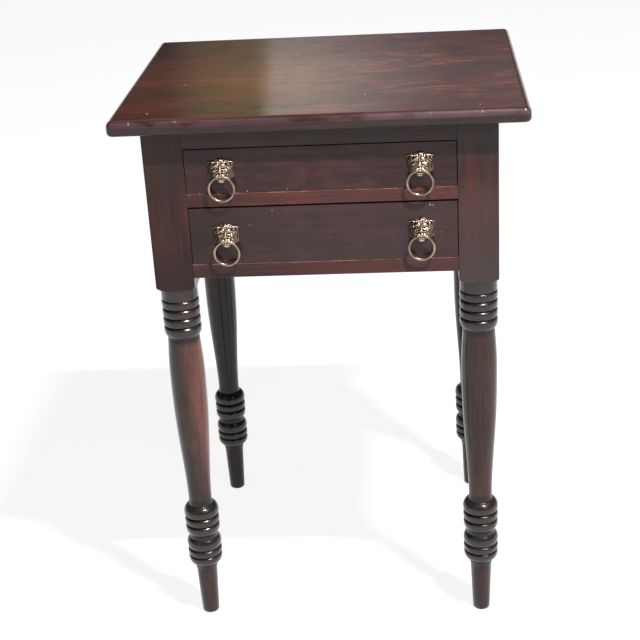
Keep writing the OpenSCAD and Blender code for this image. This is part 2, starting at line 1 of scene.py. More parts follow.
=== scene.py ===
"""Work table with two drawers, turned legs and lion mask ring pulls."""
import math

import bmesh
import bpy
import numpy as np
from mathutils import Matrix, Vector


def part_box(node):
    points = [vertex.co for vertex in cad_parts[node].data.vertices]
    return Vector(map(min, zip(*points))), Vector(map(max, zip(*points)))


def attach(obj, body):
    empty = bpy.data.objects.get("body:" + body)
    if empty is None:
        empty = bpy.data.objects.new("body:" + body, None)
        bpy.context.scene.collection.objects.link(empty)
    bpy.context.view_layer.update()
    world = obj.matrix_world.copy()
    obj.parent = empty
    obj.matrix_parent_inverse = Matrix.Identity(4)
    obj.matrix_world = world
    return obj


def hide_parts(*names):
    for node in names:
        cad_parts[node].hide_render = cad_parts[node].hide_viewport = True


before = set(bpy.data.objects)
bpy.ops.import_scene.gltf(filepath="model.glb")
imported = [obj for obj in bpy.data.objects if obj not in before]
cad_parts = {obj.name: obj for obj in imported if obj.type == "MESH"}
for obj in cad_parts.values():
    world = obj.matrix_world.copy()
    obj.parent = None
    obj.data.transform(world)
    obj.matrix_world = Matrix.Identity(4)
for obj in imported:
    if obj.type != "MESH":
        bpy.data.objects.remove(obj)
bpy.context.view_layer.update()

MM = 0.001
# measures in millimetres: the top's face, the drawer fronts' face and the posts' lower end
TOP_Z = 730
FRONT_Y = -196.5
POST_Z = 501.5
LEVELS = ("upper", "lower")
SIDES = {"left": -1, "right": 1}
LEGS = ("leg_front_left", "leg_front_right", "leg_back_left", "leg_back_right")


# Ways of working on a mesh

def deselect():
    """Nothing stays selected, so that the next operator acts on its own piece."""
    if bpy.context.mode != "OBJECT":
        bpy.ops.object.mode_set(mode="OBJECT")
    bpy.ops.object.select_all(action="DESELECT")


def take(*pieces):
    """These pieces alone are selected, and the last one is active."""
    deselect()
    for piece in pieces:
        piece.select_set(True)
    bpy.context.view_layer.objects.active = pieces[-1]


def named(name):
    piece = bpy.context.active_object
    piece.name = name
    piece.data.name = name
    return piece


def settle(piece):
    """The place of a piece goes into its mesh, and its object to the origin."""
    take(piece)
    bpy.ops.object.transform_apply(location=True, rotation=True, scale=True)
    return piece


def edit(piece, whole=False):
    """Edit mode on vertices, with nothing selected or the whole piece."""
    take(piece)
    bpy.ops.object.mode_set(mode="EDIT")
    bpy.context.tool_settings.mesh_select_mode = (True, False, False)
    bpy.ops.mesh.select_all(action="SELECT" if whole else "DESELECT")


def round_edges(piece, rule, width, segments, **more):
    """In edit mode, bevel the edges that the rule accepts."""
    bpy.ops.mesh.select_all(action="DESELECT")
    bpy.context.tool_settings.mesh_select_mode = (False, True, False)
    mesh = bmesh.from_edit_mesh(piece.data)
    for edge in mesh.edges:
        if rule(edge):
            edge.select_set(True)
    mesh.select_flush_mode()
    bmesh.update_edit_mesh(piece.data)
    bpy.ops.mesh.bevel(offset=width, segments=segments, affect="EDGES", **more)


def middle_of(edge):
    return (edge.verts[0].co + edge.verts[1].co) / 2


def runs_along(edge, axis):
    """Whether an edge is straight along axis 0, 1 or 2."""
    step = edge.verts[1].co - edge.verts[0].co
    return abs(step[axis]) > 0.999 * step.length


def clean(piece):
    """Doubles are merged and the normals point outwards."""
    edit(piece, whole=True)
    bpy.ops.mesh.remove_doubles(threshold=0.01 * MM)
    bpy.ops.mesh.normals_make_consistent(inside=False)
    deselect()


def modify(piece, kind, **settings):
    """Add a modifier with these settings and apply it."""
    take(piece)
    bpy.ops.object.modifier_add(type=kind)
    modifier = piece.modifiers[-1]
    for name, value in settings.items():
        setattr(modifier, name, value)
    bpy.ops.object.modifier_apply(modifier=modifier.name)


def join(name, *pieces):
    take(*pieces)
    bpy.ops.object.join()
    return settle(named(name))


def smooth(piece, degrees=35, weighted=True):
    """Smooth shading over gentle angles, with flat faces kept flat."""
    take(piece)
    bpy.ops.object.shade_smooth_by_angle(angle=math.radians(degrees))
    if weighted:
        modify(piece, "WEIGHTED_NORMAL", keep_sharp=True)


def again(piece, name, shift):
    """A shifted copy of a finished piece with its own mesh."""
    take(piece)
    bpy.ops.object.duplicate()
    copy = named(name)
    copy.location = shift
    return settle(copy)


def block(name, low, high):
    """A box between two corners, as the start of a piece."""
    deselect()
    low, high = Vector(low), Vector(high)
    bpy.ops.mesh.primitive_cube_add(size=1, location=(low + high) / 2)
    piece = named(name)
    piece.scale = high - low
    return settle(piece)


def trace(name, points, closed=False):
    """A chain of edges drawn point by point, as the start of a piece."""
    deselect()
    points = [Vector(point) for point in points]
    bpy.ops.mesh.primitive_plane_add(size=MM, location=points[0])
    piece = settle(named(name))
    edit(piece, whole=True)
    bpy.ops.mesh.merge(type="CENTER")
    for here, there in zip(points, points[1:]):
        bpy.ops.mesh.extrude_vertices_move(
            TRANSFORM_OT_translate={"value": there - here})
    if closed:
        bpy.ops.mesh.select_all(action="SELECT")
        bpy.ops.mesh.edge_face_add()
    deselect()
    return piece


def mark(piece, name, values):
    """Keep one number per vertex for the material to read."""
    layer = piece.data.attributes.new(name, "FLOAT", "POINT")
    layer.data.foreach_set("value", np.asarray(values, np.float32))


def points_of(piece):
    co = np.empty(len(piece.data.vertices) * 3)
    piece.data.vertices.foreach_get("co", co)
    return co.reshape(-1, 3)


# Materials

class Value:
    """A socket on a node sheet. Sums written with it add their Math nodes."""

    def __init__(self, sheet, socket):
        self.sheet = sheet
        self.socket = socket

    def math(self, operation, *others, clamp=False):
        return self.sheet.add("ShaderNodeMath", {"operation": operation, "use_clamp": clamp},
                              dict(enumerate((self,) + others)))

    def __add__(self, other):
        return self.math("ADD", other)

    def __sub__(self, other):
        return self.math("SUBTRACT", other)

    def __rsub__(self, other):
        return self.sheet.value(other).math("SUBTRACT", self)

    def __mul__(self, other):
        return self.math("MULTIPLY", other)

    def __truediv__(self, other):
        return self.math("DIVIDE", other)

    def __pow__(self, other):
        return self.math("POWER", other)

    __radd__ = __add__
    __rmul__ = __mul__

    def wave(self):
        return self.math("SINE")

    def held(self):
        """Kept between 0 and 1."""
        return self.math("ADD", 0, clamp=True)

    def step(self, low, high):
        """A soft step from 0 at low to 1 at high, or the other way round."""
        turned = low > high
        if turned:
            low, high = high, low
        rise = self.sheet.add(
            "ShaderNodeMapRange", {"interpolation_type": "SMOOTHSTEP"},
            {0: self, 1: low, 2: high})
        return 1 - rise if turned else rise


class Sheet:
    """The node sheet of one material or of the world."""

    def __init__(self, name, world=False):
        self.owner = (bpy.data.worlds if world else bpy.data.materials).new(name)
        self.owner.use_nodes = True
        self.tree = self.owner.node_tree
        self.tree.nodes.clear()

    def add(self, kind, settings=None, values=None, output=0):
        """One node: its settings first, then what its sockets hold or take."""
        node = self.tree.nodes.new(kind)
        for name, setting in (settings or {}).items():
            setattr(node, name, setting)
        for name, value in (values or {}).items():
            if isinstance(value, Value):
                self.tree.links.new(value.socket, node.inputs[name])
            else:
                node.inputs[name].default_value = value
        return Value(self, node.outputs[output])

    def value(self, number):
        node = self.add("ShaderNodeValue")
        node.socket.default_value = number
        return node

    def attribute(self, name):
        return self.add("ShaderNodeAttribute", {"attribute_name": name}, output="Fac")

    def place(self, scale=(1, 1, 1), shift=(0, 0, 0)):
        """Object coordinates, stretched and shifted."""
        here = self.add("ShaderNodeTexCoord", output="Object")
        return self.add("ShaderNodeMapping", values={
            "Vector": here, "Location": shift, "Scale": scale})

    def axis(self, index, where=None):
        where = where or self.add("ShaderNodeTexCoord", output="Object")
        return self.add("ShaderNodeSeparateXYZ", values={0: where}, output=index)

    def noise(self, where, detail=2.0, roughness=0.5, distortion=0.0):
        return self.add("ShaderNodeTexNoise", values={
            "Vector": where, "Scale": 1.0, "Detail": detail, "Roughness": roughness,
            "Distortion": distortion})

    def mix(self, factor, under, over):
        """One colour over another."""
        return self.add("ShaderNodeMix", {"data_type": "RGBA"},
                        {0: factor, 6: rgba(under), 7: rgba(over)}, output=2)

    def bump(self, height, distance, strength):
        return self.add("ShaderNodeBump", values={
            "Height": height, "Distance": distance, "Strength": strength})

    def finish(self, **sockets):
        """The shader itself and the output. Socket names have _ for a space."""
        values = {name.replace("_", " "): rgba(value) if name == "Base_Color" else value
                  for name, value in sockets.items()}
        return self.show(self.add("ShaderNodeBsdfPrincipled", values=values))

    def show(self, shader, kind="ShaderNodeOutputMaterial"):
        node = self.tree.nodes.new(kind)
        self.tree.links.new(shader.socket, node.inputs["Surface"])
        return self.owner


def rgba(colour):
    """Three numbers become four; a link stays a link."""
    if isinstance(colour, Value):
        return colour
    return tuple(colour) + (1,)


def wood(name, grain, seed, dark, mid, light, red, blush=0.5, figure=0.4, flame=0.0,
         ring=0.007, heart=(0, 0, 0), polish=0.6, soft=0.25, roughness=0.3, groove=False,
         over=None):
    """Old polished wood: growth rings, streaks, pores, stains and a coat over them.

    grain is the axis of the fibres, and heart a point on the tree's middle line.
    figure is how strongly the rings show, blush how much of it is red, and flame how
    strong the bright wavy streaks are. polish is the strength of the coat and soft its
    roughness. over paints what this piece alone has, with painted shade and reflections on
    some pieces, and may use broad, its streaks."""
    sheet = Sheet(name)
    across = [axis for axis in range(3) if axis != grain]

    def along(length, width, shift=0.0):
        scale = [1 / width] * 3
        scale[grain] = 1 / length
        offset = [seed * 3.7 + shift, seed * 1.3 - shift, seed * 2.1 + 2 * shift]
        return sheet.place(tuple(scale), tuple(offset))

    # growth rings round the heart, bent by a slow wander
    wander = sheet.noise(along(0.35, 0.09), detail=2.5, roughness=0.55)
    sway = sheet.noise(along(0.12, 0.035, 4.0), detail=1.5)
    here = [sheet.axis(axis) - heart[axis] for axis in across]
    reach = (here[0] * here[0] + here[1] * here[1]) ** 0.5
    turns = reach / ring + wander * 7.0 + sway * 1.6
    late = ((turns * (2 * math.pi)).wave() * 0.5 + 0.5) ** 2.2

    # colour along the fibres, broad and fine, and clouds across them
    broad = sheet.noise(along(0.30, 0.030, 7.0), detail=3, roughness=0.6)
    fine = sheet.noise(along(0.10, 0.0035, 1.0), detail=4, roughness=0.62)
    hair = sheet.noise(along(0.05, 0.0013, 2.0), roughness=0.6)
    pores = sheet.noise(along(0.0065, 0.00045, 3.0), detail=1).step(0.62, 0.74)
    cloud = sheet.noise(along(0.11, 0.045, 5.0), detail=3, roughness=0.55, distortion=0.4)
    spots = sheet.noise(sheet.place((30, 30, 30), (0, seed, 2)), detail=4, roughness=0.6)

    colour = sheet.mix(broad.step(0.30, 0.70), dark, mid)
    shine = late * figure + fine.step(0.42, 0.72) * 0.40
    colour = sheet.mix(shine.held(), colour, light)
    colour = sheet.mix((cloud.step(0.42, 0.68) * blush * (0.5 + broad)).held(), colour, red)
    if flame:
        lick = sheet.noise(along(0.12, 0.014, 9.0), detail=4, roughness=0.62, distortion=1.6)
        tongue = lick.step(0.52, 0.66) * sheet.noise(along(0.25, 0.10, 6.0)).step(0.40, 0.58)
        bright = tuple(min(1, part * 1.6) for part in red)
        colour = sheet.mix((tongue * flame).held(), colour, bright)
    colour = sheet.mix(hair.step(0.5, 0.75) * 0.35, colour, dark)
    colour = sheet.mix(pores * 0.5, colour, (0.004, 0.002, 0.002))
    colour = sheet.mix(spots.step(0.55, 0.8) * 0.40, colour, dark)
    rough = roughness + cloud * 0.10 + pores * 0.15 + spots.step(0.5, 0.75) * 0.10 - 0.06
    if groove:
        # darker, rougher and less glossy deep in the grooves
        groove_depth = sheet.attribute("groove")
        colour = sheet.mix((groove_depth * (0.6 + spots * 0.5)).held(), colour, (0.005, 0.003, 0.003))
        rough = rough + groove_depth * 0.2
    if over:
        colour, rough = over(sheet, colour, rough, broad)
    swell = sheet.noise(sheet.place((7, 7, 7), (1, seed, 0)), detail=1)
    height = swell * 1.6 + fine * 0.08 - pores * 0.08 + spots * 0.10
    normal = sheet.bump(height, 1.0 * MM, 0.35)
    coat = (fine * 0.9 + hair * 0.5 - spots * 0.2 + 0.4) * polish
    if groove:
        coat = (coat + sheet.attribute("bead") * 0.38) * (1 - groove_depth * 0.35)
    return sheet.finish(Base_Color=colour, Roughness=rough, Normal=normal,
                        Coat_Weight=coat.held(), Coat_Roughness=soft, Specular_IOR_Level=0.12)


def pine_wood(name, grain, seed):
    """Bare pine, browned by age, darker where hands and dust reach it."""
    sheet = Sheet(name)
    scale = [1 / 0.012] * 3
    scale[grain] = 1 / 0.4
    fibre = [1 / 0.0012] * 3
    fibre[grain] = 1 / 0.08
    bands = sheet.noise(sheet.place(tuple(scale), (seed, seed * 2, 0)), detail=3, roughness=0.55)
    thin = sheet.noise(sheet.place(tuple(fibre), (0, seed, seed)), detail=3)
    cloud = sheet.noise(sheet.place((14, 14, 14), (seed, 1, 2)), detail=4, roughness=0.6)
    late = ((bands * 22).wave() * 0.5 + 0.5) ** 3
    colour = sheet.mix(bands.step(0.3, 0.7), (0.33, 0.19, 0.09), (0.46, 0.29, 0.15))
    colour = sheet.mix(late * 0.5, colour, (0.26, 0.12, 0.045))
    colour = sheet.mix(thin.step(0.45, 0.8) * 0.35, colour, (0.2, 0.11, 0.05))
    colour = sheet.mix(cloud.step(0.42, 0.75) * 0.55, colour, (0.14, 0.085, 0.05))
    height = late * 0.5 + thin * 0.6
    return sheet.finish(Base_Color=colour, Roughness=0.6 + cloud * 0.25,
                        Normal=sheet.bump(height, 0.4 * MM, 0.5))


def brass(name, bright, dull, tarnish, crest=None, roughness=0.26):
    """Old brass: bright where it is rubbed, dark where it is not.

    crest is the colour of the rubbed high parts of a piece that has its hollows marked."""
    sheet = Sheet(name)
    cloud = sheet.noise(sheet.place((90, 90, 90)), detail=4, roughness=0.6)
    grains = sheet.noise(sheet.place((900, 900, 900)), detail=3, roughness=0.6)
    colour = sheet.mix(cloud.step(0.35, 0.7), bright, dull)
    spots = grains.step(0.52, 0.72)
    colour = sheet.mix(spots * 0.35, colour, tarnish)
    rough = roughness + cloud * 0.12 + spots * 0.12
    metal = 1.0 - spots * 0.15
    if crest:
        # the mark holds tarnish in the hollows and painted shade on the left of the masks
        depth = sheet.attribute("tarnish_and_shade") + (cloud - 0.5) * 0.25
        colour = sheet.mix(depth.step(0.20, 0.0), colour, crest)
        deep = depth.step(0.22, 0.46)
        colour = sheet.mix(deep, colour, tarnish)
        rough = rough + deep * 0.25
        metal = metal - deep * 0.6
    normal = sheet.bump(grains * 0.5 + cloud, 0.12 * MM, 0.5)
    return sheet.finish(Base_Color=colour, Roughness=rough, Metallic=metal.held(), Normal=normal)


def iron(name):
    sheet = Sheet(name)
    cloud = sheet.noise(sheet.place((300, 300, 300)), detail=4, roughness=0.65)
    rust = cloud.step(0.5, 0.72)
    colour = sheet.mix(rust, (0.07, 0.065, 0.06), (0.16, 0.07, 0.035))
    return sheet.finish(Base_Color=colour, Roughness=0.45 + rust * 0.35,
                        Metallic=(1 - rust).held(), Normal=sheet.bump(cloud, 0.1 * MM, 0.6))


PALE = (0.50, 0.41, 0.33)
# nicks: two places on a face and a radius, in millimetres
TOP_NICKS = [(-181, -47, 1.6), (-208, -182, 1.7), (195, -193, 1.3), (130, 96, 1.1),
             (56, -127, 1.5)]
UPPER_NICKS = [(-91, 632, 0.9), (-41, 633, 0.6), (33, 634, 0.5), (-150, 631, 0.6)]
LOWER_NICKS = [(-62, 606, 0.9), (-91, 588, 0.7), (133, 607, 1.2), (136.5, 606.6, 0.8),
               (127, 604.5, 0.5), (145, 571, 0.5)]


def chips(sheet, colour, places, on_top=False):
    """Small pale nicks at known places of the top or a drawer front, in millimetres."""
    here = sheet.add("ShaderNodeTexCoord", output="Object")
    ragged = sheet.noise(sheet.place((900, 500, 500)), detail=3, roughness=0.7)
    for across, along, radius in places:
        at = (across, along, TOP_Z) if on_top else (across, FRONT_Y, along)
        away = sheet.add("ShaderNodeVectorMath", {"operation": "DISTANCE"},
                         {0: here, 1: tuple(part * MM for part in at)}, output="Value")
        nick = (away / (radius * MM) + ragged * 2.0).step(2.15, 1.55)
        colour = sheet.mix(nick * 0.9, colour, PALE)
    return colour


def over_top(sheet, colour, rough, broad):
    """The top alone: an olive painted reflection and an orange red streak left of the middle,
    purple with red flames to the right.
    """
    x, y = sheet.axis(0), sheet.axis(1)
    drift = sheet.noise(sheet.place((5, 9, 5), (3, 1, 0)), detail=3, roughness=0.6)
    strands = sheet.noise(sheet.place((5, 105, 7), (1, 4, 0)), detail=3.5, roughness=0.55,
                          distortion=0.8)
    lean = x + y * 0.07 + (drift - 0.5) * 0.09
    # painted reflection: an olive tan sheen left of the middle
    painted_sheen = lean.step(-0.26, -0.10) * lean.step(0.12, -0.08)
    colour = sheet.mix(painted_sheen * strands.step(0.35, 0.75) * 0.30, colour, (0.105, 0.066, 0.027))
    middle = y + 0.02 + (drift - 0.5) * 0.12
    band = (middle * middle).step(0.0120, 0.0005) * lean.step(0.09, -0.08)
    ember = band * (0.3 + strands.step(0.28, 0.72) * 0.9) * (0.24 + lean.step(-0.22, -0.08) * 0.26)
    colour = sheet.mix(ember.held(), colour, (0.185, 0.056, 0.022))
    corner = (lean.step(-0.17, -0.23) * y.step(0.02, 0.17)).held()
    colour = sheet.mix(corner * 0.8, colour, (0.013, 0.005, 0.004))
    right = lean.step(-0.04, 0.06)
    colour = sheet.mix(right * (0.30 + strands.step(0.60, 0.36) * 0.4), colour,
                       (0.046, 0.017, 0.021))
    wisp = sheet.noise(sheet.place((13, 55, 13), (6, 2, 0)), detail=5, roughness=0.66,
                       distortion=2.2)
    where = sheet.noise(sheet.place((7, 13, 7), (2, 8, 0)))
    tongue = wisp.step(0.45, 0.68) * where.step(0.42, 0.58) * (0.25 + right * 0.75)
    tongue = tongue * (0.3 + y.step(0.17, 0.03) * 0.65)
    colour = sheet.mix(tongue.held(), colour, (0.240, 0.062, 0.045))
    return chips(sheet, colour, TOP_NICKS, on_top=True), rough


def over_top_edge(sheet, colour, rough, broad):
    """The rounded edge: a red arris above, a purple band of painted reflection, specks, and olive
    grey on the lower rounding, also a painted reflection.
    """
    z = sheet.axis(2)
    rubbed = sheet.noise(sheet.place((160, 160, 160), (4, 0, 1)), detail=3, roughness=0.7)
    patches = sheet.noise(sheet.place((26, 60, 60), (4, 0, 1)), detail=4, roughness=0.6)
    band = z.step(0.7205, 0.7235) * z.step(0.7296, 0.7275)
    # painted reflection: a purple band on the upper rounding
    colour = sheet.mix(band * patches.step(0.30, 0.62) * 0.8, colour, (0.090, 0.052, 0.060))
    # painted reflection: the band paler and more purple to the right
    right = sheet.axis(0).step(-0.02, 0.08)
    colour = sheet.mix(band * right * 0.45, colour, (0.150, 0.100, 0.116))
    colour = sheet.mix(patches.step(0.50, 0.34) * 0.5, colour, (0.030, 0.013, 0.013))
    # painted reflection: olive grey on the lower rounding
    colour = sheet.mix(z.step(0.7215, 0.7150) * 0.6, colour, (0.026, 0.019, 0.016))
    line = z.step(0.72955, 0.72985) * (0.15 + patches) * sheet.axis(1).step(-0.200, -0.207)
    colour = sheet.mix((line * 0.8).held(), colour, (0.20, 0.070, 0.040))
    foot = z.step(0.7135, 0.7120) * rubbed.step(0.35, 0.65)
    colour = sheet.mix(foot * 0.6, colour, (0.16, 0.13, 0.09))
    specks = rubbed.step(0.64, 0.72) * band * patches.step(0.48, 0.60)
    colour = sheet.mix(specks * 0.8, colour, PALE)
    return colour, rough + specks * 0.2


def over_leg(sheet, colour, rough, broad):
    """Brown wax on the beads, a rubbed red flank on the front left leg, and painted shade on the
    back legs.
    """
    x, y, z = (sheet.axis(index) for index in range(3))
    skin = sheet.noise(sheet.place((420, 420, 420), (1, 2, 0)), detail=3, roughness=0.65)
    beads = sheet.attribute("bead")
    colour = sheet.mix(beads * (0.3 + skin.step(0.30, 0.62) * 0.7), colour, (0.020, 0.015, 0.014))
    stains = sheet.noise(sheet.place((60, 60, 16), (3, 1, 2)), detail=5, roughness=0.66,
                         distortion=0.8)
    flank = ((x + 0.196) * 52 + (stains - 0.5) * 3.0).step(-0.5, 1.1) * x.step(-0.1, -0.15)
    height = z.step(0.19, 0.30) * z.step(0.429, 0.415) * y.step(0.0, -0.1)
    red = flank * height * (0.15 + stains * 1.0 + broad * 0.2)
    colour = sheet.mix(red.held(), colour, (0.225, 0.080, 0.055))
    grey = y.step(0.0, -0.1) * (1 - beads) * x.step(-0.1, -0.15) * (1 - flank)
    colour = sheet.mix(grey * 0.4, colour, (0.040, 0.030, 0.025))
    # painted shade: the back legs darker
    colour = sheet.mix(y.step(0.0, 0.1) * 0.6, colour, (0.010, 0.007, 0.006))
    return colour, rough + beads * (skin - 0.5) * 0.12


def over_post(sheet, colour, rough, broad):
    """Posts: a painted shadow, dark and grey, under the top, the left one dark at its foot, the
    right one pale and grey with painted sheen.
    """
    x, z = sheet.axis(0), sheet.axis(2)
    blot = sheet.noise(sheet.place((12, 12, 9), (5, 1, 2)), detail=3, roughness=0.6)
    # painted shadow of the top: dark and grey near the upper ends, less on the right post
    above = (z + (blot - 0.5) * 0.05).step(0.60, 0.69)
    right = x.step(0.05, 0.15)
    colour = sheet.mix(above * (0.65 - right * 0.35), colour, (0.027, 0.019, 0.015))
    below = (z + (blot - 0.5) * 0.04).step(0.59, 0.52) * x.step(0.05, -0.05)
    colour = sheet.mix(below * 0.85, colour, (0.022, 0.007, 0.006))
    # painted sheen: the right post pale on its lower part and grey at both ends
    pale = right * z.step(0.66, 0.60)
    colour = sheet.mix(pale * 0.45, colour, (0.098, 0.062, 0.062))
    painted_grey_sheen = right * (z.step(0.64, 0.70) + z.step(0.56, 0.52)).held()
    colour = sheet.mix(painted_grey_sheen * 0.55, colour, (0.062, 0.050, 0.052))
    return colour, rough


def over_front_rail(sheet, colour, rough, broad):
    """The rails under the drawers, darker to the left and low down."""
    left = sheet.axis(0).step(-0.05, -0.13)
    low = sheet.axis(2).step(0.57, 0.55)
    colour = sheet.mix((left * 0.42 + low * 0.22).held(), colour, (0.034, 0.015, 0.013))
    return colour, rough


def over_rail(sheet, colour, rough, broad):
    """A rail's front edges, rubbed pale here and there."""
    rubbed = sheet.noise(sheet.place((55, 200, 200), (2, 0, 1)), detail=3, roughness=0.7)
    colour = sheet.mix(rubbed.step(0.42, 0.72) * 0.8, colour, (0.30, 0.17, 0.12))
    return colour, rough


def clouds(sheet, colour, seed):
    """Red and dark clouds of a few centimetres on a drawer front."""
    warm = sheet.noise(sheet.place((22, 30, 42), (seed, 0, 2)), detail=4, roughness=0.62,
                       distortion=0.6)
    dim = sheet.noise(sheet.place((30, 30, 60), (0, seed, 5)), detail=4, roughness=0.62)
    colour = sheet.mix(warm.step(0.44, 0.66) * 0.55, colour, (0.098, 0.033, 0.033))
    return sheet.mix(dim.step(0.48, 0.70) * 0.6, colour, (0.024, 0.011, 0.011))


def over_upper_front(sheet, colour, rough, broad):
    colour = clouds(sheet, colour, 3)
    left = sheet.axis(0).step(-0.07, -0.15)
    colour = sheet.mix(left * 0.35, colour, (0.020, 0.010, 0.010))
    return chips(sheet, colour, UPPER_NICKS), rough


def over_lower_front(sheet, colour, rough, broad):
    colour = clouds(sheet, colour, 8)
    haze = sheet.noise(sheet.place((9, 20, 20), (7, 0, 3)), detail=3, roughness=0.6)
    colour = sheet.mix(sheet.axis(0).step(-0.16, -0.06) * (0.2 + haze * 0.6), colour,
                       (0.066, 0.038, 0.039))
    colour = sheet.mix(sheet.axis(0).step(-0.05, -0.13) * 0.4, colour, (0.020, 0.010, 0.010))
    return chips(sheet, colour, LOWER_NICKS), rough


top_wood = wood("top_mahogany", 0, 1.7, (0.022, 0.007, 0.006), (0.058, 0.017, 0.013),
                (0.090, 0.028, 0.021), (0.120, 0.027, 0.017), figure=0.25, flame=0.35,
                heart=(0, 0.05, 0.55), over=over_top, soft=0.08)
edge_wood = wood("top_mahogany_edge", 0, 1.7, (0.028, 0.011, 0.010), (0.055, 0.018, 0.018),
                 (0.085, 0.032, 0.030), (0.095, 0.024, 0.020), figure=0.2,
                 heart=(0, 0.05, 0.55), over=over_top_edge, soft=0.12, roughness=0.32)
LEG = dict(grain=2, seed=4.2, dark=(0.014, 0.006, 0.005), mid=(0.040, 0.014, 0.011),
           light=(0.070, 0.024, 0.018), red=(0.095, 0.024, 0.016), figure=0.25,
           groove=True, over=over_leg, roughness=0.28)
leg_wood = wood("leg_mahogany", polish=0.65, soft=0.10, **LEG)
bead_wood = wood("bead_mahogany", polish=0.65, soft=0.22, **LEG)
back_leg_wood = wood("back_leg_mahogany", polish=0.42, soft=0.10, **LEG)
post_wood = wood("post_mahogany", 2, 4.2, (0.020, 0.007, 0.005), (0.058, 0.015, 0.012),
                 (0.085, 0.024, 0.020), (0.120, 0.026, 0.018), blush=0.6, figure=0.2,
                 over=over_post, polish=0.45, roughness=0.32)
RAIL = dict(ring=0.005, heart=(0, -0.15, 0.5))
rail_wood = wood("rail_mahogany", 0, 6.1, (0.054, 0.017, 0.015), (0.096, 0.031, 0.028),
                 (0.135, 0.049, 0.044), (0.140, 0.036, 0.029), figure=0.3, flame=0.4,
                 over=over_front_rail, polish=0.45, roughness=0.36, **RAIL)
# painted shade: the top rail gets darker, greyer wood than the other rails, for the shadow of the
# top over it
top_rail_shaded_wood = wood("top_rail_shaded_mahogany", 0, 9.4, (0.028, 0.015, 0.013), (0.046, 0.024, 0.021),
                     (0.066, 0.038, 0.034), (0.080, 0.028, 0.023), figure=0.25, polish=0.5,
                     roughness=0.36, **RAIL)
rail_worn = wood("rail_mahogany_worn", 0, 6.1, (0.08, 0.028, 0.024), (0.13, 0.045, 0.038),
                 (0.18, 0.07, 0.06), (0.17, 0.05, 0.04), over=over_rail, polish=0.35,
                 roughness=0.4, **RAIL)
DRAWER = dict(grain=0, dark=(0.022, 0.008, 0.008), mid=(0.042, 0.015, 0.015),
              light=(0.062, 0.024, 0.023), red=(0.080, 0.022, 0.019), blush=0.35,
              figure=0.12, ring=0.008, heart=(0, -0.16, 0.80), polish=0.5, roughness=0.34)
upper_wood = wood("upper_drawer_mahogany", seed=8.3, over=over_upper_front, **DRAWER)
lower_wood = wood("lower_drawer_mahogany", seed=11.9, over=over_lower_front, **DRAWER)
panel_wood = wood("panel_mahogany", 1, 5.5, (0.020, 0.008, 0.006), (0.045, 0.016, 0.013),
                  (0.070, 0.025, 0.020), (0.085, 0.023, 0.017), blush=0.4, figure=0.25,
                  heart=(0.3, 0, 0.45), polish=0.5, roughness=0.34)
back_wood = wood("back_mahogany", 0, 2.9, (0.022, 0.010, 0.008), (0.045, 0.018, 0.014),
                 (0.065, 0.026, 0.020), (0.07, 0.022, 0.016), heart=(0, 0.18, 0.3),
                 polish=0.3, roughness=0.45)
pine_x = pine_wood("pine_across", 0, 1.0)
pine_y = pine_wood("pine_deep", 1, 2.0)
mask_brass = brass("mask_brass", (0.34, 0.24, 0.155), (0.20, 0.137, 0.078), (0.013, 0.010, 0.007),
                   crest=(0.78, 0.595, 0.46), roughness=0.22)
ring_brass = brass("ring_brass", (0.42, 0.342, 0.255), (0.255, 0.204, 0.15), (0.05, 0.04, 0.03),
                   roughness=0.22)
plain_brass = brass("plain_brass", (0.42, 0.30, 0.14), (0.26, 0.17, 0.08), (0.05, 0.035, 0.02),
                    roughness=0.4)
dark_iron = iron("iron")


def dress(piece, *materials):
    """Give a piece its materials, one for each slot."""
    piece.data.materials.clear()
    for material in materials:
        piece.data.materials.append(material)


# Table top

def make_top():
    """A board with round corners, a wide round above and a small one below."""
    corner_round, upper_round, lower_round, near = 9 * MM, 8 * MM, 5 * MM, 0.01 * MM
    low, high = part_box("table_top")
    piece = block("table_top_board", low, high)
    edit(piece)
    round_edges(piece, lambda edge: runs_along(edge, 2), corner_round, 12)
    round_edges(piece, lambda edge: all(v.co.z > high.z - near for v in edge.verts),
                upper_round, 9)
    round_edges(piece, lambda edge: all(v.co.z < low.z + near for v in edge.verts),
                lower_round, 6)
    clean(piece)
    smooth(piece)
    dress(piece, top_wood, edge_wood)
    for face in piece.data.polygons:
        face.material_index = int(face.center.z < high.z - 2 * near)
    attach(piece, "carcase")
    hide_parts("table_top")


# Legs

# heights of the foot beads' ends and of the upper beads' lower end
FOOT_BEADS = (82, 182)
UPPER_BEADS = 429


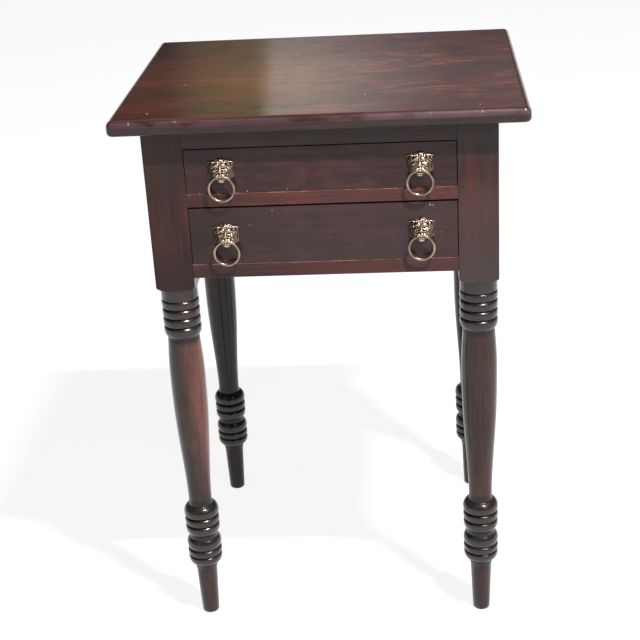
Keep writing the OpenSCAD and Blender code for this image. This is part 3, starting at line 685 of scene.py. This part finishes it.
def leg_outline():
    """Radius and height of the turned part, in millimetres, from the floor up."""
    ankle_z, ankle_r, swell_z, swell_r, neck_z, neck_r = 178, 15.6, 375.1, 23.3, 427.1, 20.8
    foot_z, foot_r, flare_z, flare_r, collar_z = 64, 14, 84, 17, 484.5
    # each bead: its radius, its middle's height, its reach up and down, and its curve
    beads = [(23.6 + grow, ankle_z - drop, up, down, arc) for drop, grow, up, down, arc in (
        (13, 0.2, 9.5, 6.8, 11.5), (26.3, 0, 6.5, 6.2, 13), (38.5, -0.2, 6, 12, 13),
        (63, 0.1, 12, 7.5, 13), (76, 0, 5.5, 5.5, 12), (86.5, -0.4, 5, 12, 10.5))]
    beads += [(24.6, 478.2 - 12.6 * k, 6.3, 12.6 if k == 3 else 6.3, 12) for k in range(4)]
    groove_side = 7.5  # a bead that ends nearer than this rolls steeply into a groove
    flank = 0.74  # where the roll becomes a straight slope

    def roll(share, steep):
        bend = flank / 4.5 * (min(share, flank) / flank) ** 4.5
        rest = max(0, share - flank)
        return steep * (bend + rest) + 0.21 * rest * rest

    def radius(z):
        reach = [0.5]
        if z <= foot_z:
            reach.append(11.6 + 2.4 * z / foot_z - max(0, 1.2 - z))
        elif z <= flare_z:
            rise = min(1, (z - foot_z) / 16)
            reach.append(foot_r + (flare_r - foot_r) * (1 - math.sqrt(1 - rise * rise)))
        if 118 <= z <= 136:
            reach.append(19.6)
        if ankle_z - 8 <= z <= swell_z:
            t = min(1, (swell_z - z) / (swell_z - ankle_z))
            reach.append(ankle_r + (swell_r - ankle_r) * (1 + math.cos(math.pi * t ** 1.25)) / 2)
            cove = min(1, max(0, (z - ankle_z + 3.4) / 3.4))
            reach.append(ankle_r + 3.4 * (1 - math.sin(math.acos(1 - cove))))
        if swell_z < z <= neck_z + 8:
            t = min(1, (z - swell_z) / (neck_z - swell_z))
            reach.append(swell_r - (swell_r - neck_r) * (1 - math.cos(math.pi / 2 * t)))
        if z >= collar_z:
            reach.append(24.0)
        for r, middle, up, down, arc in beads:
            side, away = (up if z > middle else down), abs(z - middle)
            if away <= side < groove_side:
                reach.append(r - side * roll(away / side, 0.9 if middle > 300 else 1.08))
            elif away <= side and away < arc:
                reach.append(r - arc + math.sqrt(arc * arc - away * away))
        return max(reach)

    heights = [0, 0.4, 0.8, 1.2] + list(np.arange(6, 80, 6)) + list(np.arange(80, 182, 0.5))
    heights += list(np.arange(182, 428, 6)) + list(np.arange(427.8, 502, 0.45)) + [502.5]
    return [(radius(z), z) for z in heights]


def lathe(name, outline, x, y, steps):
    """Radii and heights in millimetres, turned about the upright at x, y."""
    piece = trace(name, [(x + r * MM, y, z * MM) for r, z in outline])
    edit(piece, whole=True)
    bpy.ops.mesh.spin(steps=steps, angle=2 * math.pi, center=(x, y, 0), axis=(0, 0, 1))
    clean(piece)
    return piece


def make_legs():
    """One leg, turned from its outline under a square post, then the other three."""
    low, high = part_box("leg_front_left")
    x, y = (low.x + high.x) / 2, (low.y + high.y) / 2
    outline = leg_outline()
    turned = lathe("turned_leg", [(0, 0)] + outline + [(0, outline[-1][1])], x, y, 80)
    heights = points_of(turned)[:, 2] / MM
    known = np.array([z for r, z in outline])
    radii = np.array([r for r, z in outline])
    crest = np.array([radii[abs(known - z) < 8].max() for z in known])
    groove = np.clip((crest - radii - 0.5) / 2.0, 0, 1)
    groove[(known > 186) & (known < 425)] = 0
    groove[known < 66] = 0
    mark(turned, "groove", np.interp(heights, known, groove))
    mark(turned, "bead", np.interp(heights, [78, 86, 178, 186, 426, 432], [0, 1, 1, 0, 0, 1]))
    smooth(turned, 60, weighted=False)
    dress(turned, leg_wood, post_wood, bead_wood)
    for face in turned.data.polygons:
        height = face.center.z / MM
        if FOOT_BEADS[0] < height < FOOT_BEADS[1] or height > UPPER_BEADS:
            face.material_index = 2

    post = block("post", (low.x, low.y, POST_Z * MM), high)
    edit(post)
    round_edges(post, lambda edge: runs_along(edge, 2), 0.8 * MM, 3)
    deselect()
    # the lower corners of the square are rounded on the lathe
    curve, middle_r, wide, above = 9, 27, 40, 720
    rim = [(0, POST_Z)]
    rim += [(middle_r + curve * math.sin(a), POST_Z + curve * (1 - math.cos(a)))
            for a in [math.radians(d) for d in range(0, 91, 10)]]
    rim += [(wide, 512), (wide, above), (0, above)]
    shaper = lathe("shaper", rim, x, y, 96)
    modify(post, "BOOLEAN", operation="INTERSECT", solver="EXACT", object=shaper)
    bpy.data.objects.remove(shaper)
    clean(post)
    for name in ("groove", "bead"):
        mark(post, name, np.zeros(len(post.data.vertices)))
    smooth(post, 32)
    dress(post, leg_wood, post_wood, bead_wood)
    for face in post.data.polygons:
        face.material_index = 1

    first = join("leg_front_left_turned", post, turned)
    dx, dy = -2 * x, -2 * y
    legs = [first, again(first, "leg_front_right_turned", (dx, 0, 0)),
            again(first, "leg_back_left_turned", (0, dy, 0)),
            again(first, "leg_back_right_turned", (dx, dy, 0))]
    for piece, node in zip(legs, LEGS):
        if "back" in node:
            piece.data.materials[0] = piece.data.materials[2] = back_leg_wood
        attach(piece, "carcase")
        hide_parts(node)


# Boards of the case and the drawers

def board(node, body, materials, ease=0.5 * MM, worn_rule=None):
    """A copy of a CAD board with its triangles joined and its edges eased."""
    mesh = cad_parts[node].data.copy()
    piece = bpy.data.objects.new(node + "_board", mesh)
    bpy.context.scene.collection.objects.link(piece)
    take(piece)
    bpy.ops.mesh.customdata_custom_splitnormals_clear()
    edit(piece, whole=True)
    bpy.ops.mesh.remove_doubles(threshold=0.01 * MM)
    bpy.ops.mesh.dissolve_limited(angle_limit=math.radians(1))
    dress(piece, *materials)
    if worn_rule:
        round_edges(piece, worn_rule, 0.9 * MM, 3, material=1)
    deselect()
    modify(piece, "BEVEL", width=ease, segments=2, limit_method="ANGLE",
           angle_limit=math.radians(40), use_clamp_overlap=True)
    smooth(piece, 35)
    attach(piece, body)
    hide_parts(node)


def front_arris(node):
    """The long edges at the front of a rail or a drawer front."""
    low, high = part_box(node)

    def rule(edge):
        return (runs_along(edge, 0) and middle_of(edge).y < low.y + 0.1 * MM
                and (edge.verts[1].co - edge.verts[0].co).length > 0.2)
    return rule


def make_case():
    board("top_rail", "carcase", (top_rail_shaded_wood, top_rail_shaded_wood),
          worn_rule=front_arris("top_rail"))
    for node in ("middle_rail", "bottom_rail"):
        board(node, "carcase", (rail_wood, rail_worn),
              worn_rule=front_arris(node))
    for node in ("side_panel_left", "side_panel_right"):
        board(node, "carcase", (panel_wood,))
    board("back_panel", "carcase", (back_wood,))


def make_drawers():
    for level in LEVELS:
        body = level + "_drawer"
        board(body + "_front", body, (upper_wood if level == "upper" else lower_wood,),
              ease=0.4 * MM)
        for side in SIDES:
            board("%s_side_%s" % (body, side), body, (pine_y,))
        board(body + "_back", body, (pine_x,))


def dress_inner_nodes():
    """The plain inner pieces keep their CAD solids and get their materials."""
    for node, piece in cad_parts.items():
        material = None
        if "runner" in node or "guide" in node or "kicker" in node:
            material = pine_y
        elif "stops" in node or "glue" in node or ("bottom" in node and "drawer" in node):
            material = pine_x
        elif "screws" in node or "nails" in node:
            material = dark_iron
        elif "studs" in node or "washers" in node or "nuts" in node:
            material = plain_brass
        if material:
            dress(piece, material)


# Pulls

# in millimetres: the pulls' distance from the middle, the rings' turning line by its
# height and its distance from the drawer front, and the ring's wire and middle radius
PULL_X = 121.5
PIVOT_Z = {"upper": 653.55, "lower": 569.05}
PIVOT_OUT = 7.5
WIRE_R = 1.6
RING_R = 15.6


def on_front(x, y, z):
    """From the mask's own measures, X right, Y up, Z out, to the upper left pull."""
    return Vector(((x - PULL_X) * MM, (FRONT_Y - z) * MM, (PIVOT_Z["upper"] + y) * MM))


def lump(at, size, turn=0.0):
    """A rounded form with its three half widths, turned in the plane of the mask."""
    deselect()
    bpy.ops.mesh.primitive_uv_sphere_add(segments=28, ring_count=16, radius=1,
                                         location=on_front(*at))
    piece = bpy.context.active_object
    piece.scale = (size[0] * MM, size[2] * MM, size[1] * MM)
    piece.rotation_euler = (0, math.radians(-turn), 0)
    return settle(piece)


def strand(points, thick, thin):
    """A lock of hair or a lid: a bent row of balls that grow thinner."""
    points = np.array(points, float)
    steps = np.r_[0, np.cumsum(np.linalg.norm(np.diff(points, axis=0), axis=1))]
    count = max(4, int(steps[-1] / 0.55))
    balls = []
    for k in range(count + 1):
        t = k / count
        where = [np.interp(t * steps[-1], steps, points[:, axis]) for axis in range(3)]
        deselect()
        bpy.ops.mesh.primitive_ico_sphere_add(
            subdivisions=2, radius=(thick + (thin - thick) * t) * MM,
            location=on_front(*where))
        balls.append(bpy.context.active_object)
    return balls


MASK_EDGE = [(0, 21.6), (3.6, 21.3), (6.6, 20.0), (9.2, 18.7), (13, 18.7), (16.5, 17.5),
             (16.4, 16.3), (15.3, 15.2), (15.3, 12), (15.7, 8), (15.6, 2.6), (14.8, -1.4),
             (12.2, -3.5), (7.2, -3.8), (5.2, -5.8), (4.2, -8.2), (2.6, -9.2), (0, -9.3)]
MASK_LUMPS = [
    # face, forehead, tuft, muzzle and chin, on the middle line
    ((0, 8.0, 0.2), (9.2, 12.0, 5.4), 0),
    ((0, 16.0, 2.4), (6.8, 4.6, 3.5), 0),
    ((0, 18.9, 2.4), (4.8, 2.6, 3.4), 0),
    ((0, 1.6, 6.5), (5.0, 3.8, 4.9), 0),
    ((0, -5.9, 3.0), (4.7, 3.3, 3.9), 0)]
MASK_SIDE_LUMPS = [
    # brow, eyeball, cheekbone, lip, nostril, jowl, temple and mane, on both sides
    ((3.8, 14.7, 5.4), (3.6, 2.3, 2.8), -16),
    ((5.4, 10.9, 4.2), (2.0, 1.4, 1.7), -8),
    ((7.0, 7.4, 4.1), (2.6, 2.9, 2.8), 28),
    ((3.2, 1.9, 7.6), (3.2, 2.8, 3.8), 14),
    ((1.9, 6.7, 8.4), (1.3, 1.0, 1.5), 20),
    ((7.6, 2.2, 1.8), (2.5, 4.0, 3.2), -12),
    ((10.3, 14.6, 2.0), (2.6, 2.4, 2.8), -30),
    ((12.0, 6.6, 0.0), (3.9, 9.8, 2.6), 2)]
MASK_STRANDS = [
    # brow line, lower lid, cheek fold and lip of the chin, on both sides
    ([(0.9, 12.3, 7.0), (2.8, 12.7, 6.9), (5.4, 12.6, 5.9), (7.8, 12.3, 4.6)], 1.2, 1.0),
    ([(2.8, 9.0, 6.0), (4.6, 8.2, 6.2), (6.6, 8.9, 5.4)], 1.1, 1.0),
    ([(2.5, 6.2, 7.2), (4.8, 5.4, 6.8), (6.4, 3.8, 5.4)], 0.9, 0.8),
    ([(0, -3.8, 6.7), (2.6, -3.8, 6.4), (4.6, -4.3, 5.0)], 1.1, 0.8),
    # locks of the tuft
    ([(0, 17.2, 5.5), (0, 19.0, 5.1), (0, 20.6, 3.4)], 1.7, 1.2),
    ([(2.6, 17.2, 5.2), (3.2, 18.8, 4.4), (3.6, 20.1, 2.9)], 1.5, 1.1),
    ([(5.0, 16.6, 4.4), (6.0, 17.8, 3.6), (6.8, 18.6, 2.4)], 1.4, 1.0),
    # ear
    ([(8.2, 17.2, 3.2), (10.2, 17.9, 3.3), (13.0, 17.9, 2.8), (15.8, 17.1, 1.9)], 1.15, 0.7),
    # locks of the mane beside the cheek, down and outwards, each a little different
    ([(9.8, 13.4, 3.9), (11.8, 12.8, 3.5), (13.6, 10.8, 2.6), (14.2, 8.6, 1.7)], 1.15, 0.8),
    ([(9.6, 10.8, 3.9), (11.2, 10.0, 3.5), (13.2, 7.8, 2.6), (13.9, 5.2, 1.6)], 1.15, 0.8),
    ([(9.6, 8.0, 3.7), (11.0, 7.0, 3.4), (12.8, 4.8, 2.5), (13.6, 2.2, 1.6)], 1.15, 0.75),
    ([(9.4, 5.2, 3.5), (10.6, 4.0, 3.1), (12.3, 1.8, 2.4), (13.0, -0.6, 1.5)], 1.15, 0.75),
    ([(9.0, 2.6, 3.3), (10.0, 1.2, 2.9), (11.4, -0.6, 2.1), (12.0, -2.4, 1.3)], 1.1, 0.75),
    ([(8.4, 0.4, 3.1), (9.2, -1.0, 2.6), (10.0, -2.6, 1.6)], 1.0, 0.75),
    ([(7.2, -0.6, 2.9), (7.8, -1.7, 2.3), (7.9, -2.6, 1.5)], 0.9, 0.7),
    # the rolled outer lock
    ([(14.3, 15.0, 1.5), (14.6, 10.0, 1.3), (14.8, 5.0, 1.2), (14.2, -0.4, 1.1)], 0.9, 0.75)]
NOSE = ([(0, 15.2, 5.8), (0, 12.6, 6.7), (0, 9.6, 8.1), (0, 7.4, 9.4)], 1.5, 2.2)


def mirrored(at):
    return (-at[0],) + tuple(at[1:])


def cut(piece, cutter):
    modify(piece, "BOOLEAN", operation="DIFFERENCE", solver="EXACT", object=cutter)
    bpy.data.objects.remove(cutter)


def rod(at, radius, length):
    """A round cutter that lies along X."""
    deselect()
    bpy.ops.mesh.primitive_cylinder_add(vertices=48, radius=radius * MM, depth=length * MM,
                                        location=on_front(*at),
                                        rotation=(0, math.radians(90), 0))
    return settle(bpy.context.active_object)


def make_mask():
    """The lion's head: a plate with lumps and locks grown together, then bored."""
    edge = MASK_EDGE + [(-x, y) for x, y in MASK_EDGE[-2:0:-1]]
    plate = trace("mask_plate", [on_front(x, y, -1.5) for x, y in edge], closed=True)
    edit(plate, whole=True)
    bpy.ops.mesh.extrude_region_move(
        TRANSFORM_OT_translate={"value": (0, -3.2 * MM, 0)})
    clean(plate)
    parts = [plate]
    parts += [lump(*form) for form in MASK_LUMPS]
    parts += strand(*NOSE)
    for at, size, turn in MASK_SIDE_LUMPS:
        parts += [lump(at, size, turn), lump(mirrored(at), size, -turn)]
    for points, thick, thin in MASK_STRANDS:
        parts += strand(points, thick, thin)
        parts += strand([mirrored(p) for p in points], thick, thin)
    mask = join("upper_mask_left_cast", *parts)
    modify(mask, "REMESH", mode="VOXEL", voxel_size=0.24 * MM)
    modify(mask, "SMOOTH", factor=0.5, iterations=6)
    cut(mask, block("behind", on_front(-20, -14, 0.02), on_front(20, 26, -4)))
    # the ring's bore, wider beside the muzzle, where the ring bends away from its axis
    cut(mask, rod((0, 0, PIVOT_OUT), 2.5, 20))
    for side in (-1, 1):
        cut(mask, rod((side * 7.1, 0, PIVOT_OUT), 3.15, 5.8))
    for side in (-1, 1):
        cut(mask, lump((side * 1.1, 6.0, 11.2), (0.5, 0.4, 0.8)))
    clean(mask)
    modify(mask, "SMOOTH", factor=0.4, iterations=1)
    smooth(mask, 75, weighted=False)
    mark(mask, "tarnish_and_shade", hollows(mask))
    return mask


def hollows(piece):
    """How deep each point lies below its smoothed surroundings, with a darker mane and painted
    shade on the left, from 0 to 1.
    """
    rounds = 36
    co = points_of(piece)
    ends = np.empty(len(piece.data.edges) * 2, np.int64)
    piece.data.edges.foreach_get("vertices", ends)
    ends = ends.reshape(-1, 2)
    normal = np.empty(len(co) * 3)
    piece.data.vertices.foreach_get("normal", normal)
    normal = normal.reshape(-1, 3)
    degree = np.bincount(ends.ravel(), minlength=len(co))[:, None]
    degree[degree == 0] = 1
    soft = co.copy()
    for _ in range(rounds):
        total = np.zeros_like(soft)
        np.add.at(total, ends[:, 0], soft[ends[:, 1]])
        np.add.at(total, ends[:, 1], soft[ends[:, 0]])
        soft = 0.5 * soft + 0.5 * total / degree
    depth = ((soft - co) * normal).sum(1) / MM
    # the mane is rubbed less than the face; the extra darkening of the left half of the head is
    # painted shade
    across = co[:, 0] / MM + PULL_X
    mane_tarnish_and_shade = np.clip((abs(across) - 8.0) / 3.0, 0, 1) * np.where(across < 0, 0.36, 0.24)
    # painted shade: the left of the face darker
    left = np.clip((-across - 1.0) / 7.0, 0, 1) * 0.09
    return np.clip(0.28 + depth * 2.2 + mane_tarnish_and_shade + left, 0, 1)


def make_ring():
    """A round wire turned into a ring, rubbed thinner where it hangs."""
    deselect()
    bpy.ops.mesh.primitive_circle_add(
        vertices=20, radius=WIRE_R * MM, location=on_front(RING_R, -RING_R, PIVOT_OUT))
    ring = settle(named("upper_ring_left_wire"))
    centre = on_front(0, -RING_R, PIVOT_OUT)
    edit(ring, whole=True)
    bpy.ops.mesh.spin(steps=112, angle=2 * math.pi, center=centre, axis=(0, 1, 0))
    clean(ring)
    rubbed_width, rubbed_share = 5 * MM, 0.12
    for vertex in ring.data.vertices:
        near = max(0.0, 1 - abs(vertex.co.x - centre.x) / rubbed_width)
        if vertex.co.z > centre.z and near > 0:
            angle = math.atan2(vertex.co.x - centre.x, vertex.co.z - centre.z)
            core = Vector((centre.x + RING_R * MM * math.sin(angle), centre.y,
                           centre.z + RING_R * MM * math.cos(angle)))
            vertex.co = core + (vertex.co - core) * (1 - rubbed_share * near)
    smooth(ring, 80, weighted=False)
    return ring


def make_pulls():
    mask, ring = make_mask(), make_ring()
    dress(mask, mask_brass)
    dress(ring, ring_brass)
    pulls = []
    for level in LEVELS:
        for side, sign in SIDES.items():
            shift = Vector(((sign + 1) * PULL_X * MM, 0,
                            (PIVOT_Z[level] - PIVOT_Z["upper"]) * MM))
            first = level == "upper" and side == "left"
            here = "%s_%%s_%s" % (level, side)
            face = mask if first else again(mask, here % "mask" + "_cast", shift)
            loop = ring if first else again(ring, here % "ring" + "_wire", shift)
            pulls.append((level, here, face, loop))
    # last, because a copy takes over what the first one replaces
    for level, here, face, loop in pulls:
        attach(face, level + "_drawer")
        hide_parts(here % "mask")
        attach(loop, here % "ring")
        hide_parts(here % "ring")


# Room, light and camera

def make_floor():
    """A white floor that keeps the shadow of the table."""
    deselect()
    bpy.ops.mesh.primitive_plane_add(size=80, location=(0, 0, 0))
    floor = named("floor")
    sheet = Sheet("floor_white")
    rays = [sheet.add("ShaderNodeLightPath", output=ray)
            for ray in ("Is Camera Ray", "Is Glossy Ray", "Is Transmission Ray")]
    seen = (rays[0] + rays[1] + rays[2]).held()
    matt = sheet.add("ShaderNodeBsdfDiffuse", values={"Color": (0.25, 0.25, 0.25, 1)})
    glow = sheet.add("ShaderNodeEmission",
                     values={"Color": (1, 1, 1, 1), "Strength": seen * 0.88})
    dress(floor, sheet.show(sheet.add("ShaderNodeAddShader", values={0: matt, 1: glow})))


def make_world():
    """A plain pale room: white near the horizon, grey overhead, darker at the back.

    The polished top mirrors a low part of the back wall: a pale wall to the right, with
    its upright edge a little left of the middle, and dim green beyond that edge. The
    camera itself never sees it."""
    sheet = Sheet("room", world=True)
    toward = sheet.add("ShaderNodeTexCoord", output="Generated")
    x, y, z = (sheet.axis(index, toward) for index in range(3))
    back = y.step(0.5, 0.8)
    strength = z.step(0.16, 0.02) * 0.4 + z.step(0.09, 0.04) * 0.4 + 0.12 - back * 0.09
    ahead = y.math("MAXIMUM", 0.1)
    rise = z / ahead
    across = x / ahead + (rise - 0.25) * 0.09
    fade = ((0.026 - across) / 0.112).held() ** 1.25
    wall = fade * 0.93 + 0.25
    sill = (rise - across.held() * 0.05).step(0.225, 0.248) * (0.78 - fade * 0.20)
    low_part = rise.step(0.40, 0.34) * rise.step(0.17, 0.20) * back
    low_part = low_part * (1 - sheet.add("ShaderNodeLightPath", output="Is Camera Ray"))
    edge = across.step(-0.1150, -0.1010)
    wall = wall * (sill + 0.22 + fade * 0.20) * edge * across.step(0.17, 0.11) * low_part
    green = (1 - edge) * across.step(-0.185, -0.150) * low_part
    green = green * (0.55 + rise.step(0.226, 0.250) * 0.45)
    colour = sheet.mix(wall.held(), (1, 1, 1), (1, 0.92, 0.83))
    light = sheet.add("ShaderNodeBackground", values={
        "Color": sheet.mix(green, colour, (0.80, 1.0, 0.36)),
        "Strength": strength + wall + green * 0.21})
    bpy.context.scene.world = sheet.show(light, "ShaderNodeOutputWorld")


def lamp(name, at, toward, width, height, power, roll=0):
    """An oblong soft lamp, rolled about its own beam by so many degrees."""
    deselect()
    bpy.ops.object.light_add(type="AREA", location=at)
    light = bpy.context.active_object
    light.name = name
    light.data.shape = "RECTANGLE"
    light.data.size = width
    light.data.size_y = height
    light.data.energy = power
    light.visible_camera = False
    turn = (Vector(toward) - Vector(at)).to_track_quat("-Z", "Y").to_matrix()
    light.rotation_euler = (turn @ Matrix.Rotation(math.radians(roll), 3, "Z")).to_euler()


def make_camera():
    """Where the photograph was taken from, found from the edges of the table."""
    pitch, yaw, roll = 0.4140, -0.0796, -0.0582
    stand, focal, photo_width = (0.12142, -1.85101, 1.18554), 1421.0, 640
    ahead = Vector((math.sin(yaw) * math.cos(pitch), math.cos(yaw) * math.cos(pitch),
                    -math.sin(pitch)))
    level = Vector((math.cos(yaw), -math.sin(yaw), 0))
    above = level.cross(ahead)
    right = level * math.cos(roll) + above * math.sin(roll)
    up = above * math.cos(roll) - level * math.sin(roll)
    data = bpy.data.cameras.new("camera")
    data.sensor_width = 36
    data.lens = focal * data.sensor_width / photo_width
    data.clip_end = 200
    camera = bpy.data.objects.new("camera", data)
    bpy.context.scene.collection.objects.link(camera)
    turn = Matrix((right, up, -ahead)).transposed().to_4x4()
    camera.matrix_world = Matrix.Translation(stand) @ turn
    bpy.context.scene.camera = camera


make_top()
make_legs()
make_case()
make_drawers()
dress_inner_nodes()
make_pulls()
make_floor()
make_world()
lamp("key", at=(1.15, -1.35, 3.45), toward=(0, 0, 0.45), width=0.50, height=0.09, power=167,
     roll=-43)
lamp("side", at=(1.28, -1.49, 1.83), toward=(0, -0.17, 0.4), width=0.80, height=0.12, power=8)
lamp("fill", at=(-1.8, -2.4, 1.6), toward=(0, 0, 0.4), width=1.4, height=1.4, power=3.4)
make_camera()
bpy.context.scene.view_settings.view_transform = "Standard"
